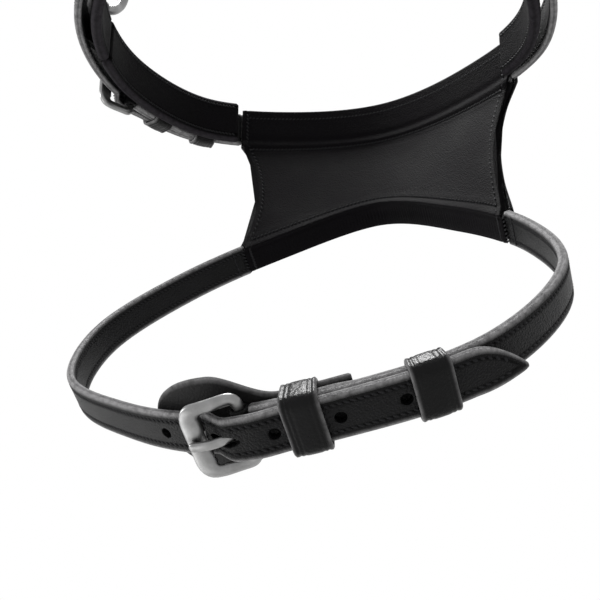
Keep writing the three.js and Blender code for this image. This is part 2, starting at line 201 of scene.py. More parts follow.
CHIN_HEEL = chin.length / 2 + 12.5 * MM
CHIN_TIP = CHIN_HEEL + 86 * MM
CHIN_RUNNING = CHIN_HEEL + 58.5 * MM
TIP_START = CHIN_RUNNING + KEEPER_LENGTH / 2 + 4.5 * MM
TIP_STAND = 2.5 * MM
TIP_DROOP = 5 * MM
NOSE_HEEL = nose.length - 157 * MM
NOSE_TIP = NOSE_HEEL + 67 * MM
NOSE_RUNNING = NOSE_HEEL + 51 * MM
HEAD_HEEL = head.length - 150 * MM
HEAD_TIP = HEAD_HEEL + 74 * MM
CROWN_START = CHEEK_LENGTH - 34 * MM
PANEL_FROM = PANEL_TURN - PANEL_HALF_LOW
PANEL_TO = PANEL_TURN + PANEL_HALF_LOW
NOSE_BAND = PANEL_HALF_HIGH


# ---- shader maths ----
class Value:
    """A node socket that can be used in an expression."""

    def __init__(self, paint, socket):
        self.paint = paint
        self.socket = socket

    def maths(self, operation, *others):
        return self.paint.node("ShaderNodeMath", {"operation": operation}, self, *others)

    def __add__(self, other):
        return self.maths("ADD", other)

    def __sub__(self, other):
        return self.maths("SUBTRACT", other)

    def __rsub__(self, other):
        return self.paint.node("ShaderNodeMath", {"operation": "SUBTRACT"}, other, self)

    def __mul__(self, other):
        return self.maths("MULTIPLY", other)

    def __pow__(self, other):
        return self.maths("POWER", other)

    def clamp(self, low, high):
        settings = {"clamp": True}
        return self.paint.node("ShaderNodeMapRange", settings, self, low, high, 0.0, 1.0)

    __radd__ = __add__
    __rmul__ = __mul__


class Paint:
    """One material and its Principled shader."""

    def __init__(self, name):
        self.material = bpy.data.materials.new(name)
        self.material.use_nodes = True
        self.nodes = self.material.node_tree.nodes
        self.links = self.material.node_tree.links
        self.shader = self.nodes["Principled BSDF"]
        self.place = self.node("ShaderNodeTexCoord", {}, out="Object")

    def node(self, kind, settings, *values, out=0, **named):
        node = self.nodes.new(kind)
        for key, value in settings.items():
            setattr(node, key, value)
        for key, value in list(enumerate(values)) + [(k.replace("_", " "), v) for k, v in named.items()]:
            self.feed(node.inputs[key], value)
        return Value(self, node.outputs[out])

    def feed(self, socket, value):
        if isinstance(value, Value):
            self.links.new(value.socket, socket)
        else:
            socket.default_value = value

    def noise(self, scale, detail=3.0, rough=0.55, vector=None):
        return self.node("ShaderNodeTexNoise", {}, Vector=vector or self.place, Scale=scale, Detail=detail,
                         Roughness=rough)

    def cells(self, scale, feature="F1", out="Distance", vector=None):
        return self.node("ShaderNodeTexVoronoi", {"feature": feature}, Vector=vector or self.place,
                         Scale=scale, out=out)

    def bump(self, height, strength, distance, under=None):
        extra = {"Normal": under} if under else {}
        return self.node("ShaderNodeBump", {}, Height=height, Strength=strength, Distance=distance, **extra)

    def attribute(self, name):
        return self.node("ShaderNodeAttribute", {"attribute_name": name}, out="Fac")

    def stretch(self, scale):
        return self.node("ShaderNodeMapping", {}, Vector=self.place, Scale=scale)

    def set(self, **named):
        for key, value in named.items():
            self.feed(self.shader.inputs[key.replace("_", " ")], value)
        return self.material


def colour(r, g, b):
    return (r, g, b, 1.0)


def mix_colour(paint, share, low, high):
    node = paint.nodes.new("ShaderNodeMix")
    node.data_type = "RGBA"
    paint.feed(node.inputs[0], share)
    paint.feed(node.inputs[6], low)
    paint.feed(node.inputs[7], high)
    return Value(paint, node.outputs[2])


def leather(name, dark, light, worn, rough, grain, depth, gloss, shine=0.5):
    """Dyed leather: pebbled grain, fine pores, slow clouds of colour and polish, worn edges, and painted
    shade that turns the stitch channels near black and rougher.
    """
    paint = Paint(name)
    pebble = paint.cells(grain, "SMOOTH_F1")
    pores = paint.noise(grain * 2.6, 2.0)
    slow = paint.noise(38.0, 3.0)
    cloud = slow.clamp(0.35, 0.68)
    drag = paint.noise(160.0, 3.0, 0.6, paint.stretch((0.25, 1.0, 3.0)))
    wear_and_shade = paint.attribute("wear_and_groove_shade")
    rub = wear_and_shade.clamp(0.0, 1.0) * (paint.noise(420.0, 3.0).clamp(0.25, 0.6) * 0.6 + 0.4)
    # Painted shade: values below zero, set in the stitch channels, darken the colour to near black and
    # roughen it.
    painted_channel_shade = (wear_and_shade * -1.0).clamp(0.0, 1.0)
    rise = pebble * 0.7 + pores * 0.35 + drag * 0.3
    fine = paint.bump(rise, 0.8, depth)
    coarse = paint.bump(slow, 0.25, 0.0006, fine)
    tint = mix_colour(paint, rub, mix_colour(paint, cloud * 0.7 + pores * 0.3, dark, light), worn)
    tint = mix_colour(paint, painted_channel_shade, tint, colour(0.0008, 0.0008, 0.0008))
    polish = rough + cloud * 0.1 + pebble * 0.12 + rub * 0.08 + painted_channel_shade * 0.4
    return paint.set(Base_Color=tint, Roughness=polish, Normal=coarse, Coat_Weight=gloss,
                     Coat_Roughness=0.3, Specular_IOR_Level=shine)


def thread_paint():
    paint = Paint("waxed black thread")
    twist = paint.node("ShaderNodeTexWave", {"wave_type": "BANDS", "bands_direction": "DIAGONAL"},
                       Vector=paint.place, Scale=900.0, Distortion=1.5)
    tint = mix_colour(paint, twist, colour(0.003, 0.003, 0.0035), colour(0.012, 0.012, 0.013))
    return paint.set(Base_Color=tint, Roughness=0.6 + twist * 0.15, Normal=paint.bump(twist, 0.5, 0.0001),
                     Specular_IOR_Level=0.12)


def steel_paint(name, rough):
    """Satin metal: a fine brushed lay, soft scuffs and a slightly duller patch here and there."""
    paint = Paint(name)
    lay = paint.noise(900.0, 2.0, 0.6, paint.stretch((0.15, 1.0, 1.0)))
    scuff = paint.noise(140.0, 4.0, 0.6)
    tint = mix_colour(paint, scuff.clamp(0.35, 0.7), colour(0.19, 0.19, 0.19), colour(0.29, 0.29, 0.29))
    return paint.set(Base_Color=tint, Metallic=1.0, Roughness=rough + lay * 0.1 + scuff * 0.12,
                     Normal=paint.bump(lay * 0.6 + scuff * 0.4, 0.15, 0.0002))


STRAP = leather("black bridle leather", colour(0.0012, 0.0012, 0.0013), colour(0.005, 0.005, 0.0055),
                colour(0.2, 0.197, 0.2), 0.3, 1500.0, 0.0007, 0.0, 0.1)
KEEPER = leather("polished keeper leather", colour(0.001, 0.001, 0.0011), colour(0.003, 0.003, 0.0033),
                 colour(0.14, 0.138, 0.14), 0.2, 1100.0, 0.0002, 0.0, 0.12)
SOFT = leather("soft lining leather", colour(0.0006, 0.0005, 0.0007), colour(0.0026, 0.0021, 0.0029),
               colour(0.02, 0.018, 0.021), 0.62, 1500.0, 0.0005, 0.0, 0.05)
FLESH = leather("flesh side leather", colour(0.0016, 0.0015, 0.0016), colour(0.005, 0.0048, 0.005),
                colour(0.12, 0.118, 0.12), 0.55, 1500.0, 0.0003, 0.0, 0.15)
THREAD = thread_paint()
STEEL = steel_paint("satin steel", 0.24)


# ---- making pieces ----
def piece_of(name, bm, material, body, slot, *nodes):
    mesh = bpy.data.meshes.new(name)
    bm.to_mesh(mesh)
    bm.free()
    return dress(name, mesh, material, body, slot, *nodes)


def dress(name, mesh, material, body, slot, *nodes):
    mesh.polygons.foreach_set("use_smooth", [True] * len(mesh.polygons))
    mesh.materials.append(material)
    piece = bpy.data.objects.new(name, mesh)
    bpy.context.scene.collection.objects.link(piece)
    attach(piece, body)
    if nodes:
        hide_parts(*nodes)
    return piece


def wrap(around, along, place, closed_along=False, wear_and_groove_shade=None):
    """A grid bent into a tube or a ring: place(i, j) is a corner's spot, and the other function gives how
    worn it is above zero and its painted shade below zero.
    """
    bm = bmesh.new()
    bmesh.ops.create_grid(bm, x_segments=around, y_segments=along, size=1.0)
    wear_and_shade = bm.verts.layers.float.new("wear_and_groove_shade")
    for v in bm.verts:
        i = round((v.co.x + 1) / 2 * around) % around
        j = round((v.co.y + 1) / 2 * along)
        j = j % along if closed_along else j
        v.co = place(i, j)
        v[wear_and_shade] = wear_and_groove_shade(i, j) if wear_and_groove_shade else 0.0
    bmesh.ops.remove_doubles(bm, verts=bm.verts, dist=1e-7)
    rims = [e for e in bm.edges if e.is_boundary]
    if rims:
        bmesh.ops.holes_fill(bm, edges=rims, sides=0)
    bmesh.ops.recalc_face_normals(bm, faces=bm.faces)
    return bm


# Places from the edge inwards where a strap's outline has a corner, close together at the crease and row.
STATIONS = [0.0, 0.35, 0.75, 1.15, 1.5, 1.8, 2.0, 2.2, 2.4, 2.65, 2.95, 3.2, 3.4, 3.6, 3.85, 4.2, 4.9, 6.2]


def strap_section(width, thick, crease=0.3 * MM, dip=0.32 * MM, margin=STITCH_MARGIN, bend=1.5 * MM):
    """Closed outline (up, out, rub) of a sewn strap: rolled edges, a crease and a stitch channel; rub is how
    worn the edge is above zero, and painted shade, near black, below zero in the stitch channel.
    """
    half = width / 2
    bend = min(thick * 0.48, bend, half * 0.8)
    inset = [min(d * MM, (half - bend) * (0.8 + 0.01 * k)) for k, d in enumerate(STATIONS)]

    def face(edge):
        """How far the face lies below its highest level, that far in from where the edge starts to roll."""
        edge += bend
        roll = 0.3 * MM * max(0.0, 1 - edge / (2.2 * MM)) ** 2
        return roll + crease * dent(edge, CREASE_MARGIN, 0.26 * MM) + dip * dent(edge, margin, 0.55 * MM)
    ups = [-(half - bend) + d for d in inset] + [0.0] + [half - bend - d for d in reversed(inset)]
    outline = []
    for side in (1, -1):
        level = thick if side > 0 else 0.0
        share = 1.0 if side > 0 else 0.6
        for up in ups:
            edge = half - bend - abs(up)
            rub = 0.9 * max(0.0, 1 - (edge + bend) / CREASE_MARGIN)
            # Painted shade: the stitch channel's value is pushed below zero, as deep as the dip, so the
            # leather paints it near black.
            rub -= 3000 * dip * dent(edge + bend, margin, 0.65 * MM)
            outline.append((side * up, level - side * share * face(edge), rub))
        for k in range(1, 6):
            a = math.pi / 2 - math.pi * k / 6
            seam = 0.28 * MM if k == 3 else 0.0
            tall = thick / 2 - 0.5 * (1 + share) * face(0.0) * 0.5
            outline.append((side * (half - bend + (bend - seam) * math.cos(a)),
                            thick / 2 + side * tall * math.sin(a), 0.9 - 2000 * seam))
    return outline


def as_function(value):
    return value if callable(value) else lambda s: value


def strap_mesh(line, start, end, inside, thick, width, centre=0.0, step=1.3 * MM, **look):
    inside, thick, width, centre = map(as_function, (inside, thick, width, centre))
    count = max(4, round((end - start) / step))
    rings = []
    round_end = 0.9 * MM
    for j in range(count + 1):
        s = mix(start, end, j / count)
        rim = min(s - start, end - s, round_end) / round_end
        pinch = math.sqrt(max(0.0, 1 - (1 - rim) ** 2)) * 0.45 + 0.55
        middle = thick(s) / 2
        low, narrow = inside(s) + middle, mix(1, pinch, 0.12)
        section = strap_section(width(s), thick(s), **look)
        rings.append([(line.at(s, low + (out - middle) * pinch, centre(s) + up * narrow), rub)
                      for up, out, rub in section])
    return wrap(len(rings[0]), count, lambda i, j: rings[j][i][0], wear_and_groove_shade=lambda i, j: rings[j][i][1])


def bored(piece, cutters):
    """The piece with the cutters' shapes taken out of it for good."""
    for cutter in cutters:
        hole = piece.modifiers.new("hole", "BOOLEAN")
        hole.operation = "DIFFERENCE"
        hole.solver = "EXACT"
        hole.object = cutter
    graph = bpy.context.evaluated_depsgraph_get()
    mesh = bpy.data.meshes.new_from_object(piece.evaluated_get(graph))
    piece.modifiers.clear()
    bm = bmesh.new()
    bm.from_mesh(mesh)
    bmesh.ops.remove_doubles(bm, verts=bm.verts, dist=2e-6)
    bmesh.ops.dissolve_degenerate(bm, edges=bm.edges, dist=2e-6)
    loose = [e for e in bm.edges if not e.link_faces]
    bmesh.ops.delete(bm, geom=loose, context="EDGES")
    gaps = [e for e in bm.edges if e.is_boundary]
    if gaps:
        bmesh.ops.holes_fill(bm, edges=gaps, sides=0)
    bm.to_mesh(mesh)
    bm.free()
    old, piece.data = piece.data, mesh
    bpy.data.meshes.remove(old)
    for cutter in cutters:
        bpy.data.objects.remove(cutter)


def punch(line, s, bore, length=None):
    """A cutter for one hole: a straight round, or oblong, plug across the strap."""
    bm = bmesh.new()
    bmesh.ops.create_cone(bm, cap_ends=True, segments=20, radius1=bore / 2, radius2=bore / 2, depth=30 * MM)
    bmesh.ops.rotate(bm, verts=bm.verts, cent=(0, 0, 0), matrix=Matrix.Rotation(math.pi / 2, 3, "X"))
    if length:
        bmesh.ops.scale(bm, verts=bm.verts, vec=(length / bore, 1, 1))
    bmesh.ops.transform(bm, verts=bm.verts, matrix=line.frame(s))
    bmesh.ops.recalc_face_normals(bm, faces=bm.faces)
    mesh = bpy.data.meshes.new("cutter")
    bm.to_mesh(mesh)
    bm.free()
    cutter = bpy.data.objects.new("cutter", mesh)
    bpy.context.scene.collection.objects.link(cutter)
    return cutter


# ---- stitching ----
def stitch_shape():
    bm = bmesh.new()
    bmesh.ops.create_uvsphere(bm, u_segments=6, v_segments=5, radius=1.0)
    spots = [v.co.copy() for v in bm.verts]
    faces = [[v.index for v in f.verts] for f in bm.faces]
    bm.free()
    return spots, faces


STITCH = stitch_shape()


def sewn(name, frames, body, slot, length=2.7 * MM, thick=0.52 * MM, slant=0.5):
    """One raised stitch at each frame: x runs along the row and y out of the leather."""
    spots, faces = STITCH
    corners, sides = [], []
    turn = Matrix.Rotation(slant, 4, "Y") @ Matrix.Diagonal((length / 2, thick * 0.8, thick, 1))
    for at in frames:
        base = len(corners)
        shape = at @ turn
        corners += [shape @ v for v in spots]
        order = 1 if shape.determinant() > 0 else -1
        sides += [[base + k for k in face][::order] for face in faces]
    mesh = bpy.data.meshes.new(name)
    mesh.from_pydata(corners, [], sides)
    return dress(name, mesh, THREAD, body, slot)


def rows(line, start, end, offset, ups, pitch=STITCH_PITCH, inward=False):
    """Frames for stitch rows; ups is a list of functions giving each row's place across the strap."""
    frames = []
    count = int((end - start) / pitch)
    for up in ups:
        for k in range(count):
            s = start + (k + 0.5) * (end - start) / count
            frame_here = line.frame(s, offset(s), up(s))
            slope = (up(s + MM) - up(s - MM)) / (2 * MM)
            frames.append(frame_here @ Matrix.Rotation(-math.atan(slope), 4, "Y"))
    if inward:
        frames = [f @ Matrix.Rotation(math.pi, 4, "X") for f in frames]
    return frames


def strap_piece(name, node, line, start, end, inside, thick, width, body, slot="bridle_leather",
                sew=(0.0, 0.0), holes=(), material=None, centre=0.0, **look):
    """A sewn strap with its stitch rows; sew shortens the rows at the two ends."""
    bm = strap_mesh(line, start, end, inside, thick, width, centre, **look)
    strap = piece_of(name, bm, material or STRAP, body, slot, node)
    cutters = [punch(line, *hole) for hole in holes]
    if cutters:
        bored(strap, cutters)
    low, deep, wide, middle = map(as_function, (inside, thick, width, centre))
    margin = look.get("margin", STITCH_MARGIN)
    sides = [lambda s, k=k: middle(s) + k * max(0.0, wide(s) / 2 - margin) for k in (-1, 1)]
    first, last = start + sew[0], end - sew[1]
    frames = rows(line, first, last, lambda s: low(s) + deep(s) - 0.3 * MM, sides)
    frames += rows(line, first, last, lambda s: low(s) + 0.2 * MM, sides, inward=True)
    sewn(name + "_stitching", frames, body, slot)
    return strap


# ---- buckles ----
def billet_rise(x):
    return mix(mix(0.0, OVER_EYE, ease(x, -13 * MM, -3 * MM)), OVER_CHAPE, ease(x, 3 * MM, 14 * MM))


def frame_lift(x):
    """How far the buckle's side bars stand above the heel bar, x along the strap."""
    lift = END_BAR_LIFT - BAR_OFFSET
    return lift * ease(-x, -1.0 * MM, -END_BAR * 0.9)


def buckle_frame(key, line, heel, width, body):
    """A cast frame: round heel bar, half-round side bars, broad end bar with a bevelled inner edge."""
    reach = width / 2 + FRAME_ROOM + FRAME_SIDE / 2
    long_ = -END_BAR
    around = 20
    corners = [(0.0, 0.0, "heel"), (0.0, reach, "side"), (-long_, reach, "end"), (-long_, -reach, "end"),
               (0.0, -reach, "side")]
    bends = [0, 3.4 * MM, 5.2 * MM, 5.2 * MM, 3.4 * MM]
    path = []
    count = len(corners)
    for i, ((x, z, _), bend) in enumerate(zip(corners, bends)):
        here = Vector((x, z))
        before, after = (Vector(corners[k][:2]) for k in ((i - 1) % count, (i + 1) % count))
        if not bend:
            path.append(here)
            continue
        a = here + (before - here).normalized() * bend
        b = here + (after - here).normalized() * bend
        for k in range(9):
            t = k / 8
            path.append(a * (1 - t) ** 2 + here * 2 * t * (1 - t) + b * t ** 2)
    dense = []
    for a, b in zip(path, path[1:] + path[:1]):
        pieces = max(1, round((b - a).length / (1.0 * MM)))
        dense += [a + (b - a) * k / pieces for k in range(pieces)]
    place = line.frame(heel, BAR_OFFSET)
    rings = []
    total = len(dense)
    for j, spot in enumerate(dense):
        ahead = (dense[(j + 1) % total] - dense[j - 1]).normalized()
        side = Vector((ahead.y, -ahead.x))
        at_end = ease(-spot.x, long_ * 0.72, long_ * 0.98)
        at_side = ease(abs(spot.y), reach * 0.55, reach * 0.9)
        broad = mix(mix(BAR_RADIUS, 2.2 * MM, at_side), 3.25 * MM, at_end)
        deep = mix(BAR_RADIUS, FRAME_THICK / 2, max(at_side, at_end))
        notch = 0.55 * MM * at_end * dent(spot.y, 0, 2.2 * MM)
        ring = []
        for k in range(around):
            a = 2 * math.pi * k / around
            c, d = math.cos(a), math.sin(a)
            power = mix(1.0, 0.62, at_end)
            x = broad * math.copysign(abs(c) ** power, c)
            y = deep * math.copysign(abs(d) ** power, d)
            inner = c * (1 if side.dot(Vector((-long_ / 2, 0)) - spot) > 0 else -1)
            if d > 0:
                y -= 1.9 * MM * at_end * max(0.0, inner - 0.2) + notch * d
            flat = spot + side * x
            ring.append(place @ Vector((flat.x, frame_lift(spot.x) + y, flat.y)))
        rings.append(ring)
    bm = wrap(around, total, lambda i, j: rings[j][i], closed_along=True)
    return piece_of(key + "_frame", bm, STEEL, body, "buckle_steel", key + "_buckle_frame")


def tongue(key, line, heel, body):
    """A bent tongue: an eye round the heel bar, a shank of even size and a blunt tip on the end bar."""
    rest = END_BAR_LIFT - BAR_OFFSET + FRAME_THICK / 2 + 0.1 * MM + TONGUE_RADIUS * 0.8
    marks = [Vector((-1.8 * MM, 1.8 * MM)), Vector((-7 * MM, rest - 1.4 * MM)), Vector((-11 * MM, rest)),
             Vector((END_BAR - 2.2 * MM, rest - 0.2 * MM))]
    path = Line(marks, False, Matrix())
    place = line.frame(heel, BAR_OFFSET)
    steps, around = 26, 16
    rings = []
    for j in range(steps + 1):
        s = path.length * j / steps
        spot, ahead = path.flat(s), path.along(s)
        side = Vector((-ahead.y, ahead.x))
        blunt = math.sqrt(max(0.02, 1 - max(0.0, (s - path.length + 1.3 * MM) / (1.3 * MM)) ** 2))
        size = TONGUE_RADIUS * blunt
        ring = []
        for k in range(around):
            a = 2 * math.pi * k / around
            c, d = (math.copysign(abs(f(a)) ** 0.75, f(a)) for f in (math.cos, math.sin))
            flat = spot + side * size * 0.85 * d
            ring.append(place @ Vector((flat.x, flat.y, size * 1.28 * c)))
        rings.append(ring)
    shank = wrap(around, steps, lambda i, j: rings[j][i])
    eye_mid = (EYE_RADIUS - 0.1 * MM + BAR_RADIUS + 0.15 * MM) / 2
    wall = eye_mid - BAR_RADIUS - 0.15 * MM

    def eye_spot(i, j):
        a, b = 2 * math.pi * j / 32, 2 * math.pi * i / 12
        radius = eye_mid + wall * math.cos(b)
        return place @ Vector((radius * math.cos(a), radius * math.sin(a), 1.75 * MM * math.sin(b)))
    eye = wrap(12, 32, eye_spot, closed_along=True)
    mesh = bpy.data.meshes.new("eye")
    eye.to_mesh(mesh)
    eye.free()
    shank.from_mesh(mesh)
    bpy.data.meshes.remove(mesh)
    return piece_of(key + "_tongue", shank, STEEL, body, "buckle_steel", key + "_buckle_tongue")


def keeper_piece(name, node, line, centre, width, inside, outside, body):
    """A loop of polished leather round the strap, creased near both edges."""
    half = KEEPER_LENGTH / 2
    high = outside - inside + 2 * GAP + KEEPER_WALL
    wide = width + 2 * GAP + KEEPER_WALL
    middle = (outside + inside) / 2
    bend = 3.0 * MM
    path = []
    for sx, sy, first in ((1, 1, 0), (-1, 1, 90), (-1, -1, 180), (1, -1, 270)):
        corner = Vector((sx * (wide / 2 - bend), sy * (high / 2 - bend)))
        path += [corner + Vector((math.cos(a), math.sin(a))) * bend
                 for a in (math.radians(first + 15 * k) for k in range(7))]
    loop = []
    for a, b in zip(path, path[1:] + path[:1]):
        pieces = max(1, round((b - a).length / (1.2 * MM)))
        loop += [a + (b - a) * k / pieces for k in range(pieces)]
    section = []
    faces = 34
    for k in range(faces + 1):
        x = mix(-half + 0.5 * MM, half - 0.5 * MM, k / faces)
        edge = half - abs(x)
        crease = 0.26 * MM * (dent(edge, 1.7 * MM, 0.42 * MM) + 0.6 * dent(edge, 3.1 * MM, 0.5 * MM))
        section.append((x, KEEPER_WALL / 2 - crease + 0.12 * MM * (1 - (x / half) ** 2)))
    lip = [(0.1 * MM, 0.225), (0.0, 0.0), (0.15 * MM, -1 / 3), (0.5 * MM, -0.4)]
    section += [(half - d, rise * KEEPER_WALL) for d, rise in lip] + [(0, -0.4 * KEEPER_WALL)]
    section += [(d - half, rise * KEEPER_WALL) for d, rise in reversed(lip)]
    total = len(loop)
    rings = []
    for j, spot in enumerate(loop):
        ahead = (loop[(j + 1) % total] - loop[j - 1]).normalized()
        normal = Vector((ahead.y, -ahead.x))
        rings.append([line.at(centre + x, middle + (spot + normal * lift).y, (spot + normal * lift).x)
                      for x, lift in section])

    def wear_and_groove_shade(i, j):
        return 0.8 * max(0.0, 1 - (half - abs(section[i][0])) / (1.2 * MM))
    bm = wrap(len(section), total, lambda i, j: rings[j][i], closed_along=True, wear_and_groove_shade=wear_and_groove_shade)
    return piece_of(name, bm, KEEPER, body, "keeper_leather", node)


def chape_piece(name, node, line, heel, end, width, body):
    """The half that holds the buckle: its end is skived and turned round the heel bar, then sewn back."""
    turned = BAR_OFFSET - EYE_RADIUS

    def inside(s):
        return mix(turned, 0.0, ease(s, heel + TURN_LENGTH, heel + TURN_LENGTH + 8 * MM))
    strap = strap_piece(name, node, line, heel + 2.4 * MM, end, inside, lambda s: STRAP_THICK - inside(s),
                        width, body, sew=(8 * MM, 1 * MM))
    for k, side in enumerate((-1, 1)):
        part = (width - 4.8 * MM) / 2
        centre = side * (width / 2 - part / 2)
        inner, outer = BAR_RADIUS + 0.1 * MM, EYE_RADIUS
        wall = (outer - inner) / 2

        def spot(i, j):
            a = math.radians(mix(-62, 62 + 236, j / 36) + 90 + 30)
            b = 2 * math.pi * i / 12
            c, d = (math.copysign(abs(f(b)) ** 0.6, f(b)) for f in (math.cos, math.sin))
            radius = (inner + outer) / 2 + wall * c
            up = centre + part / 2 * d
            return line.at(heel + radius * math.cos(a), BAR_OFFSET + radius * math.sin(a), up)
        bm = wrap(12, 36, spot)
        piece_of(f"{name}_turn_{k + 1}", bm, STRAP, body, "bridle_leather")
    return strap


def buckle_set(key, line, heel, width, body, keepers, guard=0.0):
    """Frame, tongue, fixed keeper and running keeper of one buckle."""
    top = OVER_CHAPE + BILLET_THICK
    turned = BAR_OFFSET - EYE_RADIUS
    buckle_frame(key, line, heel, width, key + "_frame")
    tongue(key, line, heel, key + "_tongue")
    inside = turned - guard
    extra = 1.5 * MM if guard else 0.0
    keeper_piece(key + "_keeper_fixed", key + "_fixed_keeper", line, heel + keepers[0], width + extra, inside,
                 top, body)
    keeper_piece(key + "_keeper_loose", key + "_running_keeper", line, heel + keepers[1], width, 0.0, top,
                 key + "_keeper")


def billet_piece(key, node, line, start, heel, tip, width, holes, body, rise=None, centre=0.0):
    rise = rise or (lambda s: billet_rise(s - heel))
    point = width * 0.92

    def wide(s):
        return width * (1 - 0.86 * max(0.0, (s - tip + point) / point) ** 1.9)
    spots = [(heel + FIRST_HOLE + HOLE_PITCH * k, HOLE_BORE) for k in holes]
    spots.append((heel + CREW_HOLE, HOLE_BORE, CREW_LENGTH))
    return strap_piece(key + "_billet", node, line, start, tip, rise, BILLET_THICK, wide, body,
                       sew=(1 * MM, 5.5 * MM), holes=spots, centre=centre)


# ---- chin strap ----
def chin_guard():
    inside = BAR_OFFSET - EYE_RADIUS - GAP - GUARD_THICK
    middle, end = CHIN_HEEL - 10 * MM, CHIN_HEEL + 36 * MM
    start = middle - 28.4 * MM

    def wide(s):
        if s < middle:
            return GUARD_WIDTH * math.sqrt(max(0.01, 1 - ((s - middle) / (28.5 * MM)) ** 2))
        return mix(GUARD_WIDTH, CHIN_WIDTH + 1.5 * MM, ease(s, middle, middle + 23 * MM))
    bm = strap_mesh(chin, start, end, inside, GUARD_THICK, wide, step=0.8 * MM, crease=0.12 * MM, dip=0.0)
    piece_of("buckle_guard", bm, FLESH, "noseband", "bridle_leather", "chin_buckle_guard")


def chin_strap():
    body = "noseband"
    tuck = 1.3 * MM
    strap_piece("lower_band", "panel_lower_band", chin, PANEL_FROM + tuck, PANEL_TO - tuck, 0, STRAP_THICK,
                PANEL_HEM - 0.4 * MM, body)

    def free(s):
        return max(0.0, (s - TIP_START) / (CHIN_TIP - TIP_START)) ** 2
    billet_piece("chin", "chin_billet_strap", chin, PANEL_TO - tuck + GAP, CHIN_HEEL, CHIN_TIP, CHIN_WIDTH,
                 (-1, 1, 2, 3), body, rise=lambda s: billet_rise(s - CHIN_HEEL) + TIP_STAND * free(s),
                 centre=lambda s: -TIP_DROOP * free(s))
    end = chin.length + PANEL_FROM + tuck - GAP
    chape_piece("chin_chape", "chin_chape_strap", chin, CHIN_HEEL, end, CHIN_WIDTH, body)
    chin_guard()
    running = CHIN_RUNNING - CHIN_HEEL
    buckle_set("chin", chin, CHIN_HEEL, CHIN_WIDTH, body, (19.5 * MM, running), guard=GAP + GUARD_THICK)


# ---- nose strap ----
def liner(name, node, start, end):
    inside = -2 * GAP - HANGER_WALL - KEEPER_WALL - LINER_THICK
    wide = NOSE_WIDTH + 2 * LINER_EXTRA
    piece = strap_piece(name, node, nose, start, end, inside, LINER_THICK, wide, "noseband",
                        slot="soft_leather",
                        material=SOFT, bend=2.4 * MM, dip=0.9 * MM, crease=0.0, sew=(2 * MM, 2 * MM))


def nose_strap():
    body = "noseband"
    start = NOSE_BAND + GAP
    strap_piece("upper_band", "panel_upper_band", nose, -NOSE_BAND + 1 * MM, NOSE_BAND - 1 * MM, 0,
                STRAP_THICK,
                NOSE_WIDTH, body)
    holes = (-2, -1, 1, 2)
    billet_piece("nose", "nose_billet_strap", nose, start, NOSE_HEEL, NOSE_TIP, NOSE_WIDTH, holes, body)
    chape_piece("nose_chape", "nose_chape_strap", nose, NOSE_HEEL, nose.length - start, NOSE_WIDTH, body)
    liner("near_liner", "nose_near_liner", nose.length - 200 * MM, nose.length - start - 3 * MM)
    liner("far_liner", "nose_far_liner", start + 3 * MM, nose.length - 202 * MM)
    buckle_set("nose", nose, NOSE_HEEL, NOSE_WIDTH, body, (22.5 * MM, NOSE_RUNNING - NOSE_HEEL))


# ---- nose panel ----
LOW_SHARE = 0.2


def panel_point(along, height, offset):
    web = min(1.0, max(0.0, (height - LOW_SHARE) / (1 - 2 * LOW_SHARE)))
    reach = (2 * along - 1) * (1 - PANEL_WAIST * 4 * web * (1 - web))
    low_edge, high_edge = PANEL_HEM / 2, -NOSE_WIDTH / 2

    def low(up):
        return chin.at(PANEL_TURN - reach * PANEL_HALF_LOW, offset, up)

    def high(up):
        return nose.at(reach * PANEL_HALF_HIGH, offset, -up)
    if height <= LOW_SHARE:
        return low(mix(-low_edge, low_edge, height / LOW_SHARE))
    if height >= 1 - LOW_SHARE:
        return high(mix(high_edge, -high_edge + 1 * MM, (height - 1 + LOW_SHARE) / LOW_SHARE))
    return low(low_edge).lerp(high(high_edge), web)


def recess(height):
    rise = ease(height, LOW_SHARE, LOW_SHARE + 0.08)
    fall = ease(height, 0.92 - LOW_SHARE, 1 - LOW_SHARE)
    return PANEL_RECESS * rise * (1 - fall)


SEAMS = (0.235, 0.765)


def lining_relief(along, height):
    """How far the lining's face sinks: seams with a rolled lip, edge rows, and the hem's gathers."""
    edge = (0.5 - abs(along - 0.5)) * 2 * PANEL_HALF_LOW
    seams = sum(0.5 * MM * dent(height, h, 0.009) for h in SEAMS)
    lips = sum(-0.7 * MM * dent(height, h, 0.014) for h in (0.205, 0.795))
    grooves = sum(0.35 * MM * dent(height, h, 0.012) for h in (0.172, 0.828))
    side = 0.3 * MM * dent(edge, 3.2 * MM, 0.6 * MM)
    roll = 0.5 * MM * dent(edge, 0, 1.0 * MM) + 0.35 * MM * dent(height, 0, 0.012)
    middle = dent(along, 0.52, 0.24)
    wobble = 2.2 * math.sin(along * 23) + 1.4 * math.sin(along * 61 + 1)
    gather = 0.3 * MM * dent(height, 0.09, 0.055) * math.sin(along * 620 + wobble) * (0.25 + middle)
    tuck = 0.13 * MM * dent(height, 0.27, 0.03) * math.sin(along * 410 - wobble) * middle
    slack = 0.35 * MM * dent(height, 0.5, 0.2) * math.sin(along * 9 + height * 5)
    return seams + lips + grooves + side + roll + gather + tuck + slack


